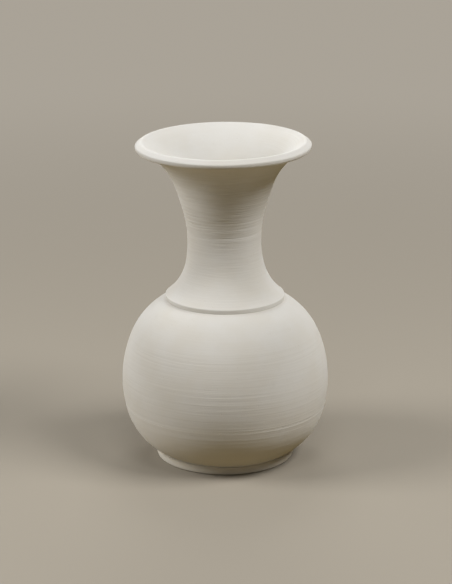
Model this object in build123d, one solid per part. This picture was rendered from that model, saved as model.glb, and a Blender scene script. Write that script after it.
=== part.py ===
from build123d import *
import os

# A thrown bottle vase in four clay sections, luted together with slip in stepped joints.
# Sizes are in millimetres. Radii are measured from the wheel's axis, and rises are stacked
# one on another from the table upwards.

# Foot ring
foot_height = 7.2
foot_seat_width = 10.5
foot_ledge = 0.7
foot_swell = 0.6
foot_tuck = 0.4
foot_edge_round = 1.5

# Globe, outer form
base_radius = 56.5
lower_belly_rise = 34.1
lower_belly_tuck = 3.4
belly_rise = 25.6
belly_radius = 86.3
shoulder_rise = 38.0
shoulder_tuck = 7.5
seat_rise = 32.0

# Globe, inside and joints
globe_wall = 5.0
floor_thickness = 7.0
floor_round = 14.0
boss_depth = 2.0
belly_line_rise = 39.6
tongue_height = 4.0

# Neck, outer form
skirt_radius = 49.4
skirt_edge = 3.1
skirt_throat_rise = 28.6
skirt_throat_swell = 1.5
waist_rise = 17.1
waist_radius = 30.5
throat_rise = 24.6
throat_swell = 3.0
flare_rise = 25.2
flare_swell = 8.0
rim_rise = 34.6
mouth_radius = 72.2
lip_thickness = 5.6
lip_face = 2.9
lip_slope = 37.0

# Neck, inside and joints
neck_wall = 4.6
seat_width = 7.4
spigot_length = 4.5
spigot_wall = 3.0
spigot_bore_rise = 8.0

# Thickness of the slip in every joint
slip = 0.5

# Heights above the table
base = foot_height
boss_face = base - boss_depth
floor = boss_face + floor_thickness
lower_belly = base + lower_belly_rise
belly_line = base + belly_line_rise
belly = lower_belly + belly_rise
shoulder = belly + shoulder_rise
seat = shoulder + seat_rise
skirt_foot = seat + slip
skirt_top = skirt_foot + skirt_edge
skirt_throat = skirt_top + skirt_throat_rise
waist = skirt_throat + waist_rise
throat = waist + throat_rise
flare = throat + flare_rise
rim = flare + rim_rise

# Radii of the outer form between the named ones
lower_belly_radius = belly_radius - lower_belly_tuck
shoulder_radius = belly_radius - shoulder_tuck
skirt_throat_radius = waist_radius + skirt_throat_swell
throat_radius = waist_radius + throat_swell
flare_radius = throat_radius + flare_swell

# Radii that follow from the fits between the sections
foot_bore = base_radius - foot_seat_width
boss_radius = foot_bore - slip
opening_radius = skirt_radius - seat_width
opening_depth = spigot_length + slip
spigot_radius = opening_radius - slip
spigot_bore = spigot_radius - spigot_wall
tongue_width = (globe_wall - slip) / 2


def parallel(arc, distance):
    """The same arc, moved to its own left by a distance."""
    moved = [arc @ t + (arc % t).rotate(Axis.Z, 90) * distance for t in (0, 0.5, 1)]
    return ThreePointArc(*moved)


def follow(arc, end):
    """An arc that leaves the end of another smoothly and runs to a point."""
    return TangentArc(arc @ 1, end, tangent=arc % 1)


def band(inner, outer, bottom, top):
    """A rectangle of a section, between two radii and two heights."""
    corners = [(inner, bottom), (outer, bottom), (outer, top), (inner, top)]
    return make_face(Polyline(corners, close=True))


def turned(section):
    """A section drawn as radius and height, turned about the wheel's axis."""
    return revolve(Plane.XZ * section, Axis.Z)


def globe_section():
    """The bowl and globe in one: outer form, less the hollow inside and the opening."""
    low = TangentArc((belly_radius, belly), (lower_belly_radius, lower_belly), tangent=(0, -1))
    lowest = follow(low, (base_radius, base))
    high = TangentArc((belly_radius, belly), (shoulder_radius, shoulder), tangent=(0, 1))
    highest = follow(high, (skirt_radius, seat))
    outer = make_face([low, lowest, high, highest, Polyline(lowest @ 1, (0, base), (0, seat), highest @ 1)])

    low = parallel(low, -globe_wall)
    lowest = parallel(lowest, -globe_wall)
    high = parallel(high, globe_wall)
    highest = follow(high, (opening_radius, seat - opening_depth))
    mouth = Polyline(highest @ 1, (opening_radius, seat), (0, seat), (0, (lowest @ 1).Y), lowest @ 1)
    hollow = make_face([low, lowest, high, highest, mouth])
    hollow -= band(0, 2 * belly_radius, 0, floor)
    corner = hollow.vertices().group_by(Axis.Y)[0].sort_by(Axis.X)[-1]
    hollow = fillet(corner, floor_round)

    boss = band(0, boss_radius, boss_face, base)
    return outer + boss - hollow


def below_belly_line(section, gap):
    """Everything under the stepped belly joint: a tongue on the inner half of the wall."""
    half_way = belly_line + tongue_height / 2
    wall = section & Line((0, half_way), (2 * belly_radius, half_way))
    step = wall.bounding_box().min.X + tongue_width + gap
    low_side = band(0, 2 * belly_radius, 0, belly_line + gap)
    return low_side + band(0, step, 0, belly_line + tongue_height + gap)


def foot_ring():
    """A low ring with a rounded face, open in the middle, that the vase stands on."""
    top = foot_height - slip
    ledge = base_radius + foot_ledge
    face = ThreePointArc((ledge, top), (ledge + foot_swell, top / 2), (ledge - foot_tuck, 0))
    section = make_face([face, Polyline(face @ 1, (foot_bore, 0), (foot_bore, top), face @ 0)])
    return turned(fillet(section.vertices().group_by(Axis.Y)[0], foot_edge_round))


def foot_slip():
    """Slip on the ring's top and round the boss of the bowl."""
    flat = band(boss_radius, base_radius, foot_height - slip, base)
    return turned(flat + band(boss_radius, foot_bore, boss_face, base))


def trumpet_neck():
    """A waisted neck on a skirt with a spigot, flaring to a rolled lip that slopes outwards."""
    lip_round = lip_thickness / 2
    down_lip = Vector(lip_face, 0).rotate(Axis.Z, -lip_slope)
    crest = Vector(mouth_radius - lip_round - down_lip.X, rim - lip_round)
    lip_middle = crest + down_lip * 0.5

    skirt_high = TangentArc((waist_radius, waist), (skirt_throat_radius, skirt_throat), tangent=(0, -1))
    skirt_low = follow(skirt_high, (skirt_radius, skirt_top))
    neck_low = TangentArc((waist_radius, waist), (throat_radius, throat), tangent=(0, 1))
    neck_high = follow(neck_low, (flare_radius, flare))
    trumpet = follow(neck_high, lip_middle - Vector(0, neck_wall / 2))
    outer = [skirt_high, skirt_low, neck_low, neck_high, trumpet]

    bore_high = parallel(skirt_high, -neck_wall)
    bore_low = follow(bore_high, (spigot_bore, seat + spigot_bore_rise))
    throat_low = parallel(neck_low, neck_wall)
    throat_high = parallel(neck_high, neck_wall)
    funnel = follow(throat_high, crest + Vector(0, 0.97 * lip_round).rotate(Axis.Z, 30))
    inner = [bore_high, bore_low, throat_low, throat_high, funnel]

    skirt = Polyline(
        skirt_low @ 1,
        (skirt_radius, skirt_foot),
        (spigot_radius, skirt_foot),
        (spigot_radius, seat - spigot_length),
        (spigot_bore, seat - spigot_length),
        bore_low @ 1,
    )
    wall = make_face(outer + inner + [skirt, Line(trumpet @ 1, funnel @ 1)])
    lip = Pos(lip_middle) * SlotCenterToCenter(lip_face, lip_thickness, rotation=-lip_slope)
    return turned(wall + lip)


def shoulder_slip():
    """Slip on the flat seat of the shoulder and round the neck's spigot."""
    flat = band(spigot_radius, skirt_radius, seat, skirt_foot)
    return turned(flat + band(spigot_radius, opening_radius, seat - spigot_length, skirt_foot))


globe = globe_section()
bowl_side = below_belly_line(globe, 0)
bowl_and_slip_side = below_belly_line(globe, slip)

nodes = {
    "foot_ring": foot_ring(),
    "foot_slip": foot_slip(),
    "lower_bowl": turned(globe & bowl_side),
    "belly_slip": turned((globe & bowl_and_slip_side) - bowl_side),
    "upper_globe": turned(globe - bowl_and_slip_side),
    "shoulder_slip": shoulder_slip(),
    "trumpet_neck": trumpet_neck(),
}

os.makedirs("parts", exist_ok=True)
for name, solid in nodes.items():
    export_step(solid, f"parts/{name}.step")
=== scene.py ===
import math

import bmesh
import bpy
from mathutils import Matrix, Vector, noise
from mathutils.geometry import interpolate_bezier


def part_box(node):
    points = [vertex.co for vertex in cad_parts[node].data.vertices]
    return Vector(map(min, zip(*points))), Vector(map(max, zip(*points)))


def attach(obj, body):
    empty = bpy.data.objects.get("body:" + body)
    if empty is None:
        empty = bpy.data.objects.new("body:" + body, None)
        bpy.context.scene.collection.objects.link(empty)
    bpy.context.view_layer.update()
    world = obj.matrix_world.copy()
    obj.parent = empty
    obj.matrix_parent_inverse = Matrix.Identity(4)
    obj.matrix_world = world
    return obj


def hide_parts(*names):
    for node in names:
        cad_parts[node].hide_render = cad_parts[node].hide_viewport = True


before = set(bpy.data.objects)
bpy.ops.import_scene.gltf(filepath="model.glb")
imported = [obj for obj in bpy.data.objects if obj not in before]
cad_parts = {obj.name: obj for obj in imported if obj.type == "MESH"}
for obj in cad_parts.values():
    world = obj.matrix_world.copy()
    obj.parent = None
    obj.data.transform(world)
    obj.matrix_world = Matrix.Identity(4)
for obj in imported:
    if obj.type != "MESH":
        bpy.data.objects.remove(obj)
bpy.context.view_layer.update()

# Foot ring
# A low ring of the same clay, set on the upside-down bowl with slip and trimmed with a loop tool.
# It is left bare: the round face is sponged smooth, and the flat underside is ground level.
# Its bottom outer edge is painted dark, as a contact shadow where it meets the floor.

mm = 0.001
degree = math.pi / 180
tight_edge = 0.06 * mm
weld = 0.002 * mm
edge_reach = 1.4 * mm
rib_fineness = 520.0
rib_line_depth = 0.40 * mm
grain_fineness = 1500.0
tooth_depth = 0.06 * mm
joint_dust = 0.22
dust_reach = (0.2 * mm, 1.6 * mm)
scuff_and_shadow_start = 0.1 * mm
contact_shadow_fade = 0.6 * mm

foot_white = (0.757, 0.725, 0.65)
foot_ledge_round = 0.35 * mm
foot_facet = 0.45 * mm
foot_turns = 192
foot_ribbed = 0.15
foot_face_bottom = 1.2 * mm
foot_face_margin = 0.8 * mm
foot_line_height = 3.9 * mm
foot_line_width = 0.4 * mm
foot_line_depth = 0.10 * mm
loop_mark_pitch = 1.1 * mm
loop_mark_depth = 0.02 * mm
# The foot's lowest band is scuffed, and its outer edge there is painted dark as a contact shadow.
foot_scuff_and_shadow_height = 1.5 * mm
foot_contact_shadow_width = 2.0 * mm


def cut_outline(node, open_edges):
    """A node's solid cut through the wheel's axis: its right-hand outline, with rounded edges.

    Edges at the heights in open_edges get the radius given there, and those inside joints stay tight.
    """
    same_place = 0.001 * mm
    same_height = 0.3 * mm
    straight = 0.3 * degree
    corner = 30 * degree
    cut = bmesh.new()
    cut.from_mesh(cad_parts[node].data)
    bmesh.ops.remove_doubles(cut, verts=cut.verts, dist=same_place)
    for plane, keep_right in ((Vector((0, 1, 0)), False), (Vector((1, 0, 0)), True)):
        bmesh.ops.bisect_plane(
            cut,
            geom=cut.verts[:] + cut.edges[:] + cut.faces[:],
            dist=same_place,
            plane_co=(0, 0, 0),
            plane_no=plane,
            clear_inner=True,
            clear_outer=not keep_right,
        )
    bmesh.ops.dissolve_limit(cut, angle_limit=straight, verts=cut.verts, edges=cut.edges)
    sharp = [v for v in cut.verts if len(v.link_edges) == 2 and v.calc_edge_angle() > corner]
    rounds = {tight_edge: sharp}
    for height, radius in open_edges.items():
        rounds[radius] = [v for v in sharp if abs(v.co.z - height) < same_height]
        rounds[tight_edge] = [v for v in rounds[tight_edge] if v not in rounds[radius]]
    for radius, corners in rounds.items():
        bmesh.ops.bevel(
            cut,
            geom=corners,
            offset=radius,
            affect="VERTICES",
            segments=4,
            profile=0.5,
            material=-1,
            clamp_overlap=True,
        )
    at = min(cut.verts, key=lambda v: (len(v.link_edges), round(v.co.z, 6), v.co.x))
    along = max(at.link_edges, key=lambda e: e.other_vert(at).co.x)
    outline = [at.co.copy()]
    while along and len(outline) <= len(cut.edges):
        at = along.other_vert(at)
        outline.append(at.co.copy())
        along = next((e for e in at.link_edges if e is not along), None)
    cut.free()
    return outline


def direction_between(before, after):
    """The way that a smooth line runs at the point between two of its straight steps."""
    much_longer = 3
    if after.length > much_longer * before.length:
        return after.normalized()
    if before.length > much_longer * after.length:
        return before.normalized()
    return (before.normalized() * after.length + after.normalized() * before.length).normalized()


def fine_line(outline, outside, inside):
    """A smooth line through an outline, with one spacing up the outside and one for the rest."""
    steps = [b - a for a, b in zip(outline, outline[1:])]
    runs = [direction_between(a, b) for a, b in zip(steps, steps[1:])]
    runs = [steps[0].normalized()] + runs + [steps[-1].normalized()]
    line = []
    for start, step, leave, arrive in zip(outline, steps, runs, runs[1:]):
        end = start + step
        reach = step.length / 3
        count = max(1, round(step.length / (outside if step.z > 0 else inside)))
        line += interpolate_bezier(start, start + leave * reach, end - arrive * reach, end, count + 1)[:-1]
    return line + [outline[-1]]


def edge_wear_and_highlight(line):
    """How close each point of a line is to an edge, up to 1, or to a crease, down to -1."""
    gain = 1.6
    bends = [0.0] * len(line)
    for i in range(1, len(line) - 1):
        before = line[i] - line[i - 1]
        after = line[i + 1] - line[i]
        turn = before.xz.angle_signed(after.xz, 0.0)
        bends[i] = -turn / (before.length + after.length) * 2 * mm
    edge_measure = []
    for here in line:
        near = [(bend, 1 - (there - here).length / edge_reach) for bend, there in zip(bends, line)]
        share = sum(close for _, close in near if close > 0)
        edge_measure.append(sum(bend * close for bend, close in near if close > 0) / share)
    return [max(-1.0, min(1.0, gain * w)) for w in edge_measure]


def thrown(node, open_edges, outside, inside, facets):
    """A clay section spun up from the outline of its solid, with how near each point is to an edge or
    crease, for its edge wear, painted edge highlight and crease dust.
    """
    line = fine_line(cut_outline(node, open_edges), outside, inside)
    clay = bmesh.new()
    edge_measure = clay.verts.layers.float.new("edge")
    verts = [clay.verts.new(point) for point in line]
    for vert, amount in zip(verts, edge_wear_and_highlight(line)):
        vert[edge_measure] = amount
    for pair in zip(verts, verts[1:]):
        clay.edges.new(pair)
    quarter = {"cent": (0, 0, 0), "axis": (0, 0, 1), "dvec": (0, 0, 0), "angle": math.pi / 2}
    bmesh.ops.spin(clay, geom=clay.verts[:] + clay.edges[:], steps=facets // 4, **quarter)
    for axis in ("X", "Y"):
        whole = clay.verts[:] + clay.edges[:] + clay.faces[:]
        bmesh.ops.mirror(clay, geom=whole, matrix=Matrix.Identity(4), merge_dist=weld, axis=axis)
    bmesh.ops.remove_doubles(clay, verts=clay.verts, dist=weld)
    bmesh.ops.recalc_face_normals(clay, faces=clay.faces)
    return clay


def press(clay, height_at):
    """Raises or sinks each point of a section along its normal, as the potter's hand and rib do."""
    clay.normal_update()
    for vert, out in [(v, v.normal.copy()) for v in clay.verts]:
        vert.co += out * height_at(vert.co, out)


def ease(value, low, high):
    """0 below low, 1 above high, and a smooth rise between them."""
    share = max(0.0, min(1.0, (value - low) / (high - low)))
    return share * share * (3 - 2 * share)


def groove(distance, width, depth):
    """The height across a soft groove, below zero in its middle."""
    return -depth * math.exp(-((distance / width) ** 2))


def ring_lines(co, pitch, seed):
    """Uneven rings about the wheel's axis, from -1 to 1, that fade in and out on the way round."""
    patches = 1.6
    patch_height = 6 * mm
    way = co.xy.normalized() if co.xy.length > mm else Vector((0, 0))
    ring = noise.noise(Vector((co.xy.length / pitch, seed, co.z / pitch)))
    patch = noise.noise(Vector((patches * way.x, patches * way.y + seed, co.z / patch_height)))
    return ring * max(0.0, 0.85 + 0.5 * patch)


def rib(clay, strength_at):
    """Sets how strongly the rib's fine lines show at each point of a section."""
    ribbed = clay.verts.layers.float.new("ribbed")
    for vert in clay.verts:
        vert[ribbed] = strength_at(vert.co, vert.normal)


def fired_piece(name, clay, material):
    """The finished object of a section: smooth shaded, in its place, in its material."""
    mesh = bpy.data.meshes.new(name)
    clay.to_mesh(mesh)
    clay.free()
    mesh.shade_smooth()
    mesh.materials.append(material)
    piece = bpy.data.objects.new(name, mesh)
    bpy.context.scene.collection.objects.link(piece)
    return piece


def add(tree, kind, inputs, **settings):
    """Puts a shader node in a tree. Each input is a value, or a socket to link."""
    made = tree.nodes.new("ShaderNode" + kind)
    for name, value in settings.items():
        setattr(made, name, value)
    for key, value in inputs.items():
        if isinstance(value, bpy.types.NodeSocket):
            tree.links.new(value, made.inputs[key])
        else:
            made.inputs[key].default_value = value
    return made


def sums(tree, operation, a, b):
    """One step of arithmetic on values or sockets."""
    return add(tree, "Math", {0: a, 1: b}, operation=operation).outputs[0]


def part_of(tree, value, share):
    """A share of a value."""
    return sums(tree, "MULTIPLY", value, share)


def stretch(tree, value, low, high, to_low=0.0, to_high=1.0):
    """A value's range, eased on to another range and held at its ends."""
    inputs = {"Value": value, "From Min": low, "From Max": high, "To Min": to_low, "To Max": to_high}
    return add(tree, "MapRange", inputs, interpolation_type="SMOOTHSTEP").outputs[0]


def tinted(tree, share, under, over):
    """One colour laid over another by a share."""
    return add(tree, "Mix", {0: share, 6: under, 7: over}, data_type="RGBA").outputs[2]


def effect(name, inputs, outputs):
    """An empty shader group with named number sockets."""
    tree = bpy.data.node_groups.new(name, "ShaderNodeTree")
    for label, value in inputs.items():
        socket = tree.interface.new_socket(label, in_out="INPUT", socket_type="NodeSocketFloat")
        socket.default_value = value
    for label in outputs:
        tree.interface.new_socket(label, in_out="OUTPUT", socket_type="NodeSocketFloat")
    return tree, tree.nodes.new("NodeGroupInput").outputs, tree.nodes.new("NodeGroupOutput").inputs


def wheel_lines_effect():
    """Fine streaks that run round the wheel's axis, as a rib and a sponge drag them in wet clay."""
    tree, given, out = effect("wheel_lines", {"Fineness": rib_fineness, "Seed": 0.0}, ["Line"])
    place = add(tree, "TexCoord", {}).outputs["Object"]
    split = add(tree, "SeparateXYZ", {0: place}).outputs
    flat = add(tree, "CombineXYZ", {0: split[0], 1: split[1]}).outputs[0]
    radius = add(tree, "VectorMath", {0: flat}, operation="LENGTH").outputs["Value"]
    outwards = add(tree, "VectorMath", {0: flat}, operation="NORMALIZE").outputs[0]
    way = add(tree, "SeparateXYZ", {0: outwards}).outputs
    across = sums(tree, "MULTIPLY", radius, given["Fineness"])
    up = sums(tree, "MULTIPLY", split[2], given["Fineness"])
    about = sums(tree, "ADD", way[0], given["Seed"])
    spot = add(tree, "CombineXYZ", {0: across, 1: up, 2: about}).outputs[0]
    inputs = {"Vector": spot, "W": way[1], "Scale": 1.0, "Detail": 2.0, "Roughness": 0.6}
    streaks = add(tree, "TexNoise", inputs, noise_dimensions="4D").outputs[0]
    tree.links.new(stretch(tree, streaks, 0.25, 0.75), out["Line"])
    return tree


def clay_grain_effect():
    """The dry grain of fired clay: a fine tooth, with a few open pin holes."""
    tree, given, out = effect("clay_grain", {"Fineness": grain_fineness}, ["Height", "Pits"])
    place = add(tree, "TexCoord", {}).outputs["Object"]
    inputs = {"Vector": place, "Scale": given["Fineness"], "Detail": 3.0, "Roughness": 0.65}
    tooth = add(tree, "TexNoise", inputs).outputs[0]
    coarser = part_of(tree, given["Fineness"], 0.2)
    holes = add(tree, "TexVoronoi", {"Vector": place, "Scale": coarser}).outputs
    chance = add(tree, "SeparateColor", {0: holes["Color"]}).outputs[0]
    open_here = stretch(tree, chance, 0.90, 0.94)
    hole = stretch(tree, holes["Distance"], 0.10, 0.16, 1.0, 0.0)
    pits = sums(tree, "MULTIPLY", hole, open_here)
    tree.links.new(pits, out["Pits"])
    tree.links.new(sums(tree, "SUBTRACT", tooth, part_of(tree, pits, 1.5)), out["Height"])
    return tree


def clay_tone_effect():
    """Where fired clay is a little darker or paler: broad clouds from the kiln, smudges and flecks."""
    tree, given, out = effect("clay_tone", {"Seed": 0.0}, ["Cloud", "Smudge", "Fleck"])
    place = add(tree, "TexCoord", {}).outputs["Object"]
    moved = add(tree, "VectorMath", {0: place, 1: given["Seed"]}).outputs[0]
    for label, scale, detail, low, high in (
        ("Cloud", 28.0, 3.0, 0.3, 0.7),
        ("Smudge", 62.0, 4.0, 0.63, 0.78),
        ("Fleck", 420.0, 2.0, 0.3, 0.7),
    ):
        inputs = {"Vector": moved, "Scale": scale, "Detail": detail, "Roughness": 0.55}
        spread = add(tree, "TexNoise", inputs).outputs[0]
        tree.links.new(stretch(tree, spread, low, high), out[label])
    return tree


wheel_lines = wheel_lines_effect()
clay_grain = clay_grain_effect()
clay_tone = clay_tone_effect()


def place_effect(tree, group, **values):
    """One of the shared effects in a material, with its own values."""
    made = tree.nodes.new("ShaderNodeGroup")
    made.node_tree = group
    for label, value in values.items():
        made.inputs[label].default_value = value
    return made.outputs


def bisque(name, clay, seed, joints, scuff_and_shadow_below=None, contact_shadow_from=None):
    """Unglazed fired clay, with a share of dust at the heights of its joints.

    Below a given height it is scuffed, and on the outer part of that low band it is painted dark as a
    contact shadow.
    """
    material = bpy.data.materials.new(name)
    material.use_nodes = True
    tree = material.node_tree
    shader = tree.nodes["Principled BSDF"]
    streaks = place_effect(tree, wheel_lines, Fineness=rib_fineness, Seed=seed)["Line"]
    ribbed = add(tree, "Attribute", {}, attribute_name="ribbed").outputs["Fac"]
    lines = sums(tree, "MULTIPLY", streaks, ribbed)
    between_lines = sums(tree, "SUBTRACT", ribbed, lines)
    grain = place_effect(tree, clay_grain)
    tone = place_effect(tree, clay_tone, Seed=seed)
    edge = add(tree, "Attribute", {}, attribute_name="edge").outputs["Fac"]
    place = add(tree, "TexCoord", {}).outputs["Object"]
    height = add(tree, "SeparateXYZ", {0: place}).outputs[2]

    pale = [min(1.0, 1.06 * c) for c in clay] + [1]
    warm = [clay[0] * 0.965, clay[1] * 0.95, clay[2] * 0.92, 1]
    grey = [c * 0.86 for c in clay] + [1]
    dust = [clay[0] * 0.70, clay[1] * 0.65, clay[2] * 0.57, 1]
    # Painted contact shadow: a dark colour for the foot's bottom outer edge, standing in for the shade where
    # it meets the floor.
    contact_shadow = [clay[0] * 0.36, clay[1] * 0.31, clay[2] * 0.25, 1]

    colour = tinted(tree, tone["Cloud"], [*clay, 1], warm)
    colour = tinted(tree, part_of(tree, tone["Fleck"], 0.22), colour, warm)
    # The rib lines are painted paler and the clay between them greyer: painted light and shade of their
    # relief, on top of their bump.
    colour = tinted(tree, part_of(tree, lines, 0.5), colour, pale)
    colour = tinted(tree, part_of(tree, between_lines, 0.2), colour, grey)
    colour = tinted(tree, part_of(tree, tone["Smudge"], 0.28), colour, grey)
    colour = tinted(tree, part_of(tree, grain["Pits"], 0.25), colour, dust)
    # Edges are painted paler: partly wear, partly a painted highlight along them.
    colour = tinted(tree, stretch(tree, edge, 0.7, 1.0, 0.0, 0.8), colour, pale)
    colour = tinted(tree, stretch(tree, edge, -0.6, -0.05, 0.35, 0.0), colour, dust)
    for joint, share in joints.items():
        away = sums(tree, "ABSOLUTE", sums(tree, "SUBTRACT", height, joint), 0.0)
        colour = tinted(tree, stretch(tree, away, *dust_reach, share, 0.0), colour, dust)
    if scuff_and_shadow_below is not None:
        low = stretch(tree, height, scuff_and_shadow_start, scuff_and_shadow_below, 1.0, 0.0)
        worn = sums(tree, "MULTIPLY", low, stretch(tree, tone["Fleck"], 0.0, 1.0, 0.1, 0.4))
        colour = tinted(tree, worn, colour, dust)
        # Painted contact shadow: the outer part of the low band is darkened where the foot meets the floor.
        flat = add(tree, "VectorMath", {0: place, 1: (1, 1, 0)}, operation="MULTIPLY").outputs[0]
        radius = add(tree, "VectorMath", {0: flat}, operation="LENGTH").outputs["Value"]
        outer = stretch(tree, radius, contact_shadow_from, contact_shadow_from + contact_shadow_fade)
        colour = tinted(tree, sums(tree, "MULTIPLY", low, outer), colour, contact_shadow)
    tree.links.new(colour, shader.inputs["Base Color"])

    rough = stretch(tree, sums(tree, "ADD", tone["Fleck"], tone["Smudge"]), 0.0, 2.0, 0.92, 0.78)
    tree.links.new(rough, shader.inputs["Roughness"])
    shader.inputs["Specular IOR Level"].default_value = 0.25
    shader.inputs["Diffuse Roughness"].default_value = 0.7

    drag = {"Height": lines, "Strength": 1.0, "Distance": rib_line_depth}
    dragged = add(tree, "Bump", drag).outputs[0]
    tooth = {"Height": grain["Height"], "Strength": 0.5, "Distance": tooth_depth, "Normal": dragged}
    tree.links.new(add(tree, "Bump", tooth).outputs[0], shader.inputs["Normal"])
    return material


foot_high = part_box("foot_ring")[1]
foot_top = foot_high.z
foot_face_top = foot_top - foot_face_margin
foot_face_radius = 0.9 * foot_high.x


def foot_marks(co, out):
    """A fine line half way up the round face, and the light marks of the loop tool."""
    if co.z < foot_face_bottom or co.z > foot_face_top or co.xy.length < foot_face_radius:
        return 0.0
    line = groove(co.z - foot_line_height, foot_line_width, foot_line_depth)
    return line + loop_mark_depth * ring_lines(co, loop_mark_pitch, seed=3.0)


foot_clay = thrown("foot_ring", {foot_top: foot_ledge_round}, foot_facet, foot_facet, foot_turns)
press(foot_clay, foot_marks)
rib(foot_clay, lambda co, out: foot_ribbed)
foot_bisque = bisque(
    "foot_bisque",
    foot_white,
    seed=3.0,
    joints={foot_top: joint_dust},
    scuff_and_shadow_below=foot_scuff_and_shadow_height,
    contact_shadow_from=foot_high.x - foot_contact_shadow_width,
)
foot_ring = fired_piece("turned_foot_ring", foot_clay, foot_bisque)
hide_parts("foot_ring")
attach(foot_ring, "root")

# Foot slip
# The layer of runny clay that the ring was stuck on with, squeezed out flush and fired with it.
# It is a finer, slightly darker clay than the walls, and shows only as a line in the crease.

slip_facet = 0.6 * mm
slip_turns = 192
slip_grey = (0.70, 0.68, 0.63)
slip_fineness = 1500.0
slip_drag_depth = 0.04 * mm
slip_uneven = 0.03 * mm
slip_wave = 9 * mm
slip_rim = 0.4 * mm
foot_slip_proud = -0.02 * mm


def joining_slip(name, grey, seed):
    """Fired joining slip: the clay's colour a little darker, smooth, with drag lines from the sponge."""
    material = bpy.data.materials.new(name)
    material.use_nodes = True
    tree = material.node_tree
    shader = tree.nodes["Principled BSDF"]
    lines = place_effect(tree, wheel_lines, Fineness=slip_fineness, Seed=seed)["Line"]
    tone = place_effect(tree, clay_tone, Seed=seed)
    dark = [0.9 * c for c in grey] + [1]
    colour = tinted(tree, tone["Cloud"], [*grey, 1], dark)
    colour = tinted(tree, part_of(tree, lines, 0.4), colour, dark)
    tree.links.new(colour, shader.inputs["Base Color"])
    tree.links.new(stretch(tree, tone["Fleck"], 0.0, 1.0, 0.74, 0.86), shader.inputs["Roughness"])
    shader.inputs["Specular IOR Level"].default_value = 0.3
    drag = {"Height": lines, "Strength": 0.5, "Distance": slip_drag_depth}
    tree.links.new(add(tree, "Bump", drag).outputs[0], shader.inputs["Normal"])
    return material


def slip_layer(name, node, grey, seed, proud):
    """One layer of slip that stands about so far proud of its joint, uneven on the way round."""
    slip = thrown(node, {}, slip_facet, slip_facet, slip_turns)
    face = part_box(node)[1].x

    def squeezed(co, out):
        outer = ease(co.xy.length, 0.9 * face, face - slip_rim)
        wave = noise.noise(Vector((co.x, co.y, seed * mm)) / slip_wave)
        return outer * (proud + slip_uneven * wave)

    press(slip, squeezed)
    return fired_piece(name, slip, joining_slip(name + "_clay", grey, seed))


foot_slip = slip_layer("foot_joint_slip", "foot_slip", slip_grey, seed=11.0, proud=foot_slip_proud)
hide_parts("foot_slip")
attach(foot_slip, "root")

# Lower bowl
# The floor and the lowest part of the body, thrown as an open bowl with a tongue on its rim.
# The outside is turned and sponged; the base inside the foot keeps the rings of the turning tool.

clay_white = (0.757, 0.748, 0.722)
boss_edge_round = 0.5 * mm
rubbed_edge = 0.025 * mm
rubbed_dust = 0.05
bowl_facet = 0.5 * mm
bowl_inner_facet = 1.8 * mm
bowl_turns = 224
bowl_ribbed = 0.22
bowl_ribbed_rise = 6 * mm
floor_thickness = 7 * mm
floor_margin = 0.5 * mm
base_tilt = -0.8
base_margin = 1 * mm
crease_margin = 0.6 * mm
crease_settle = 4 * mm
belly_line_margin = 0.5 * mm
bowl_line_pitch = 1.5 * mm
bowl_line_depth = 0.040 * mm
bowl_wave_pitch = 4.2 * mm
bowl_wave_depth = 0.030 * mm
base_ring_pitch = 2.6 * mm
base_ring_depth = 0.11 * mm
base_ring_start = (4 * mm, 9 * mm)
throw_pitch = 6.5 * mm
throw_depth = 0.22 * mm
throw_start = (2 * mm, 12 * mm)
tongue_margin = 2 * mm
seam_lip_height = 0.10 * mm
seam_lip_width = 0.8 * mm
seam_lip_away = 1.3 * mm
seam_wiped_side = (-60 * mm, 70 * mm)

bowl_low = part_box("lower_bowl")[0]
belly_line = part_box("belly_slip")[0].z
base_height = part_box("foot_slip")[1].z
floor_height = bowl_low.z + floor_thickness


def seam_lips(co, line):
    """The clay pushed up a little above and below the scraped seam, and wiped away on the left."""
    left_over = ease(co.x, *seam_wiped_side)
    return -groove(abs(co.z - line) - seam_lip_away, seam_lip_width, seam_lip_height * left_over)


def bowl_marks(co, out):
    """Turning lines outside, the turning tool's rings under the base, and throwing ridges inside."""
    radius = co.xy.length
    if out.z < base_tilt and co.z < base_height - base_margin:
        return base_ring_depth * ring_lines(co, base_ring_pitch, seed=5.0) * ease(radius, *base_ring_start)
    faces_out = out.xy.dot(co.xy) > 0
    if faces_out and base_height + crease_margin < co.z < belly_line - belly_line_margin:
        settle = ease(co.z, base_height + crease_margin, base_height + crease_settle)
        lines = bowl_line_depth * ring_lines(co, bowl_line_pitch, seed=2.0)
        waves = bowl_wave_depth * ring_lines(co, bowl_wave_pitch, seed=8.0)
        return settle * (lines + waves) + seam_lips(co, belly_line)
    if floor_height - floor_margin < co.z < belly_line - tongue_margin:
        return throw_depth * ring_lines(co, throw_pitch, seed=4.0) * ease(radius, *throw_start)
    return 0.0


def bowl_ribs(co, out):
    """The same all over the bowl, from nothing at the foot's crease."""
    return bowl_ribbed * ease(co.z, base_height, base_height + bowl_ribbed_rise)


bowl_edges = {bowl_low.z: boss_edge_round, belly_line: rubbed_edge}
bowl_clay = thrown("lower_bowl", bowl_edges, bowl_facet, bowl_inner_facet, bowl_turns)
press(bowl_clay, bowl_marks)
rib(bowl_clay, bowl_ribs)
bowl_joints = {base_height: joint_dust, belly_line: rubbed_dust}
bowl_bisque = bisque("bowl_bisque", clay_white, seed=5.0, joints=bowl_joints)
lower_bowl = fired_piece("thrown_lower_bowl", bowl_clay, bowl_bisque)
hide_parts("lower_bowl")
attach(lower_bowl, "root")

# Belly slip
# The slip in the tongue joint between bowl and globe, scraped back until only a fine ring shows.
# It is rubbed down with the clay beside it, so it is almost as pale as the walls.

rubbed_slip = (0.75, 0.738, 0.708)
belly_slip_proud = 0.02 * mm

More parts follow.
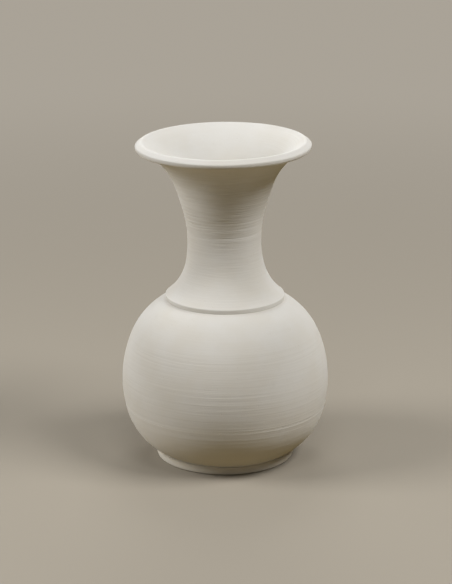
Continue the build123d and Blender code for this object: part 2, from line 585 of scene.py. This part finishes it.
belly_slip = slip_layer("belly_joint_slip", "belly_slip", rubbed_slip, seed=12.0, proud=belly_slip_proud)
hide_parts("belly_slip")
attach(belly_slip, "root")

# Upper globe
# The belly and shoulder, thrown upside down as a closed-in ring and set on the bowl's tongue.
# Ribbed smooth outside, with a few stronger rib lines round the belly, and a flat seat on top.

slip_thickness = 0.5 * mm
globe_facet = 0.42 * mm
globe_inner_facet = 1.8 * mm
globe_turns = 192
belly_lines = ((62.1, 0.9, -0.058), (70.9, 0.6, -0.030), (77.2, 0.6, -0.036))
globe_line_pitch = 1.5 * mm
globe_line_depth = 0.024 * mm
globe_lines_fade = (95 * mm, 115 * mm)
globe_lines_faded = 0.8
globe_wave_pitch = 4.6 * mm
globe_wave_depth = 0.014 * mm
globe_ridges_rise = (8 * mm, 14 * mm)
globe_ridges_fade = (118 * mm, 126 * mm)
belly_ribbed = 0.23
belly_less = 0.02
belly_calmer = (74 * mm, 84 * mm)
shoulder_less = 0.15
shoulder_smooth = (104 * mm, 118 * mm)
seat_margin = 0.6 * mm
seat_settle = 4 * mm

seat_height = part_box("shoulder_slip")[1].z - slip_thickness
globe_start = belly_line + slip_thickness


def drawn_lines(co, lines, seed):
    """Lines that the rib's edge drew, fainter in places.

    Each has a height, a width and a depth in millimetres, and a depth below zero raises the line.
    """
    patches = 1.4
    way = co.xy.normalized()
    height = 0.0
    for line, width, depth in lines:
        patch = noise.noise(Vector((patches * way.x, patches * way.y, seed + line)))
        height += groove(co.z / mm - line, width, depth * (0.9 + 0.5 * patch))
    return height * mm


def globe_marks(co, out):
    """Rib lines outside, strongest round the belly, and broad throwing ridges inside."""
    if out.xy.dot(co.xy) <= 0:
        ridges = ease(co.z - belly_line, *globe_ridges_rise) * (1 - ease(co.z, *globe_ridges_fade))
        return throw_depth * ridges * ring_lines(co, throw_pitch, seed=6.0)
    if co.z > seat_height - seat_margin or co.z < globe_start + belly_line_margin:
        return 0.0
    settle = ease(seat_height - co.z, seat_margin, seat_settle)
    left_over = 1 - globe_lines_faded * ease(co.z, *globe_lines_fade)
    lines = left_over * globe_line_depth * ring_lines(co, globe_line_pitch, seed=9.0)
    waves = globe_wave_depth * ring_lines(co, globe_wave_pitch, seed=1.0)
    drawn = drawn_lines(co, belly_lines, seed=18.0)
    return settle * (lines + waves + drawn) + seam_lips(co, globe_start)


def globe_ribs(co, out):
    """Strongest low on the belly, and nearly gone on the shoulder."""
    calmer = belly_ribbed - belly_less * ease(co.z, *belly_calmer)
    return calmer - shoulder_less * ease(co.z, *shoulder_smooth)


globe_edges = {globe_start: rubbed_edge}
globe_clay = thrown("upper_globe", globe_edges, globe_facet, globe_inner_facet, globe_turns)
press(globe_clay, globe_marks)
rib(globe_clay, globe_ribs)
globe_joints = {globe_start: rubbed_dust, seat_height: joint_dust}
globe_bisque = bisque("globe_bisque", clay_white, seed=7.0, joints=globe_joints)
upper_globe = fired_piece("thrown_upper_globe", globe_clay, globe_bisque)
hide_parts("upper_globe")
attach(upper_globe, "root")

# Shoulder slip
# The slip on the globe's seat and round the neck's spigot, wiped off just under the skirt's edge.
# Same fired slip as under the foot.

shoulder_slip_proud = -0.05 * mm

shoulder_slip = slip_layer(
    "shoulder_joint_slip", "shoulder_slip", slip_grey, seed=13.0, proud=shoulder_slip_proud
)
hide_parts("shoulder_slip")
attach(shoulder_slip, "root")

# Trumpet neck
# The waisted neck with its proud skirt and rolled lip, thrown apart and set on with a spigot.
# Rib lines ring the throat, and it leans a hair to the left, as it settled when it was set on.

skirt_edge = 3.1 * mm
skirt_edge_round = 0.35 * mm
skirt_margin = 0.3 * mm
skirt_settle = 4 * mm
skirt_to_stem = (150 * mm, 172 * mm)
throat_start = (188 * mm, 198 * mm)
throat_end = (210 * mm, 216 * mm)
flare_start = (205 * mm, 220 * mm)
flare_end = (245 * mm, 260 * mm)
lip_depth = 6.4 * mm
lip_crease_round = 0.5 * mm
lip_edge_tilt = 0.42
lip_edge_spread = 0.28
lip_edge_fullness = 0.3 * mm
neck_facet = 0.42 * mm
neck_inner_facet = 1.3 * mm
neck_turns = 160
neck_lean = 0.62 * degree
neck_lean_rise = 45 * mm
neck_shift = 0.2 * mm
neck_shift_rise = 3 * mm
neck_line_pitch = 1.45 * mm
neck_wave_pitch = 4.4 * mm
neck_line_depth = 0.030 * mm
skirt_lines = 0.35
sponged_share = 0.6
sponged_side = (0.15, 0.8)
inner_ribbed = 0.12
skirt_ribbed = 0.10
stem_ribbed = 0.24
throat_ribbed = 0.40
flare_ribbed = 0.80
finger_pitch = 4.5 * mm
finger_depth = 0.05 * mm
throat_lines = (
    (229.0, 0.5, 0.10),
    (224.5, 0.5, 0.12),
    (216.5, 0.5, 0.10),
    (208.6, 0.6, 0.23),
    (205.9, 0.6, 0.22),
    (203.4, 0.6, 0.22),
    (196.2, 2.4, 0.28),
)

rim_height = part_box("trumpet_neck")[1].z
lip_crease = rim_height - lip_depth
lip_clear = (rim_height - 9 * mm, rim_height - 6 * mm)
skirt_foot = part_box("shoulder_slip")[1].z
skirt_top = skirt_foot + skirt_edge


def lines_left(co):
    """How much of the rib's lines the sponge left: all on the left of the neck, less on the right."""
    return 1 - sponged_share * ease(co.x / co.xy.length, *sponged_side)


def neck_marks(co, out):
    """Rib lines outside, strongest in the throat, a full lower edge to the lip, and soft ridges inside."""
    if co.z < skirt_top + skirt_margin:
        return 0.0
    faces_out = out.xy.dot(co.xy) > 0
    if faces_out and co.z > lip_crease:
        return -groove(out.z - lip_edge_tilt, lip_edge_spread, lip_edge_fullness)
    clear = ease(co.z, skirt_top + skirt_margin, skirt_top + skirt_settle) * (1 - ease(co.z, *lip_clear))
    if not faces_out:
        return finger_depth * clear * ring_lines(co, finger_pitch, seed=14.0)
    lines = neck_line_depth * ring_lines(co, neck_line_pitch, seed=15.0)
    waves = neck_line_depth * ring_lines(co, neck_wave_pitch, seed=16.0)
    above_skirt = skirt_lines + (1 - skirt_lines) * ease(co.z, *skirt_to_stem)
    drawn = drawn_lines(co, throat_lines, seed=17.0)
    return clear * lines_left(co) * (above_skirt * (lines + waves) + drawn)


def neck_ribs(co, out):
    """Strong in the throat and up the flare, weaker on the skirt, and faint inside."""
    if out.xy.dot(co.xy) <= 0:
        return inner_ribbed
    stem = skirt_ribbed + stem_ribbed * ease(co.z, *skirt_to_stem)
    throat = ease(co.z, *throat_start) * (1 - ease(co.z, *throat_end))
    flare = ease(co.z, *flare_start) * (1 - ease(co.z, *flare_end))
    return stem + lines_left(co) * (throat_ribbed * throat + flare_ribbed * flare)


neck_edges = {skirt_top: skirt_edge_round, lip_crease: lip_crease_round}
neck_clay = thrown("trumpet_neck", neck_edges, neck_facet, neck_inner_facet, neck_turns)
press(neck_clay, neck_marks)
rib(neck_clay, neck_ribs)
for vert in neck_clay.verts:
    lean = neck_lean * ease(vert.co.z, skirt_top, skirt_top + neck_lean_rise)
    rise = vert.co.z - skirt_top
    vert.co.z += vert.co.x * lean
    vert.co.x -= rise * lean + neck_shift * ease(vert.co.z, skirt_top - neck_shift_rise, skirt_top)
neck_bisque = bisque("neck_bisque", clay_white, seed=9.0, joints={skirt_foot: joint_dust})
trumpet_neck = fired_piece("thrown_trumpet_neck", neck_clay, neck_bisque)
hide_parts("trumpet_neck")
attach(trumpet_neck, "root")

# Studio
# A plain pale sweep under six soft boxes: two on the left, one on the right, two in front, one behind.
# The floor looks pale, and throws back only a warm, dim light on to the underside of the vase.

floor_size = 14.0
floor_pale = (0.37, 0.335, 0.28, 1)
floor_bounce = (0.195, 0.136, 0.040, 1)
sweep_start = 0.3
sweep_end = 1.5
sweep_pale = (0.39, 0.355, 0.302, 1)
sweep_light = (0.016, 0.0156, 0.0148, 1)
black = (0, 0, 0, 1)
lamp_white = (1.0, 0.99, 0.975)
vase_middle = Vector((0, 0, 0.16))


def seen_by_eye(tree):
    """1 where the camera sees a surface, straight or in a reflection, and 0 where only light falls on it."""
    ray = add(tree, "LightPath", {}).outputs
    seen = sums(tree, "MAXIMUM", ray["Is Camera Ray"], ray["Is Glossy Ray"])
    return sums(tree, "MAXIMUM", seen, ray["Is Transmission Ray"])


def studio_floor():
    """The floor, pale to the eye and in reflections, and darker where it lights the vase."""
    sheet = bmesh.new()
    bmesh.ops.create_grid(sheet, x_segments=4, y_segments=4, size=floor_size / 2)
    mesh = bpy.data.meshes.new("studio_floor")
    sheet.to_mesh(mesh)
    sheet.free()
    material = bpy.data.materials.new("studio_floor")
    material.use_nodes = True
    tree = material.node_tree
    shader = tree.nodes["Principled BSDF"]
    seen = seen_by_eye(tree)
    place = add(tree, "TexCoord", {}).outputs["Object"]
    away = add(tree, "VectorMath", {0: place}, operation="LENGTH").outputs["Value"]
    far = sums(tree, "MULTIPLY", stretch(tree, away, sweep_start, sweep_end), seen)
    near = tinted(tree, seen, floor_bounce, floor_pale)
    tree.links.new(tinted(tree, far, near, black), shader.inputs["Base Color"])
    tree.links.new(tinted(tree, far, black, sweep_pale), shader.inputs["Emission Color"])
    shader.inputs["Emission Strength"].default_value = 1.0
    shader.inputs["Roughness"].default_value = 0.9
    shader.inputs["Specular IOR Level"].default_value = 0.1
    mesh.materials.append(material)
    floor = bpy.data.objects.new("studio_floor", mesh)
    bpy.context.scene.collection.objects.link(floor)


def softbox(name, place, size, power):
    """A rectangular soft lamp at a place, turned to face the middle of the vase."""
    lamp = bpy.data.lights.new(name, "AREA")
    lamp.shape = "RECTANGLE"
    lamp.size, lamp.size_y = size
    lamp.energy = power
    lamp.color = lamp_white
    box = bpy.data.objects.new(name, lamp)
    turn = (vase_middle - Vector(place)).to_track_quat("-Z", "Y")
    box.matrix_world = Matrix.LocRotScale(Vector(place), turn, None)
    bpy.context.scene.collection.objects.link(box)


studio_floor()
for name, place, size, power in (
    ("left_softbox", (-1.63, -0.29, 1.28), (0.9, 0.7), 22.7),
    ("low_left_softbox", (-1.98, 0.0, 0.44), (0.5, 0.5), 4.7),
    ("right_softbox", (1.19, -0.48, 1.69), (1.1, 0.6), 28.9),
    ("high_softbox", (0.0, -0.94, 1.93), (0.8, 0.6), 6.4),
    ("back_softbox", (0.0, 1.49, 1.50), (1.0, 0.7), 9.0),
    ("front_softbox", (-0.41, -1.93, 0.51), (0.6, 0.4), 2.2),
):
    softbox(name, place, size, power)

world = bpy.data.worlds.new("studio")
world.use_nodes = True
walls = tinted(world.node_tree, seen_by_eye(world.node_tree), sweep_light, sweep_pale)
world.node_tree.links.new(walls, world.node_tree.nodes["Background"].inputs["Color"])
bpy.context.scene.world = world
bpy.context.scene.view_settings.view_transform = "Standard"

# Camera
# The photograph's own place: far back, looking down on the mouth, with the lens worked out for an upright
# frame.

image_height = 584
focal_pixels = 2323.8
sensor = 36
camera_place = (0.00067, -1.8491, 0.7104)
camera_pitch = 17.112 * degree

lens = bpy.data.cameras.new("camera")
lens.sensor_width = sensor
lens.lens = sensor * focal_pixels / image_height
camera = bpy.data.objects.new("camera", lens)
camera.location = camera_place
camera.rotation_euler = (math.pi / 2 - camera_pitch, 0, 0)
bpy.context.scene.collection.objects.link(camera)
bpy.context.scene.camera = camera
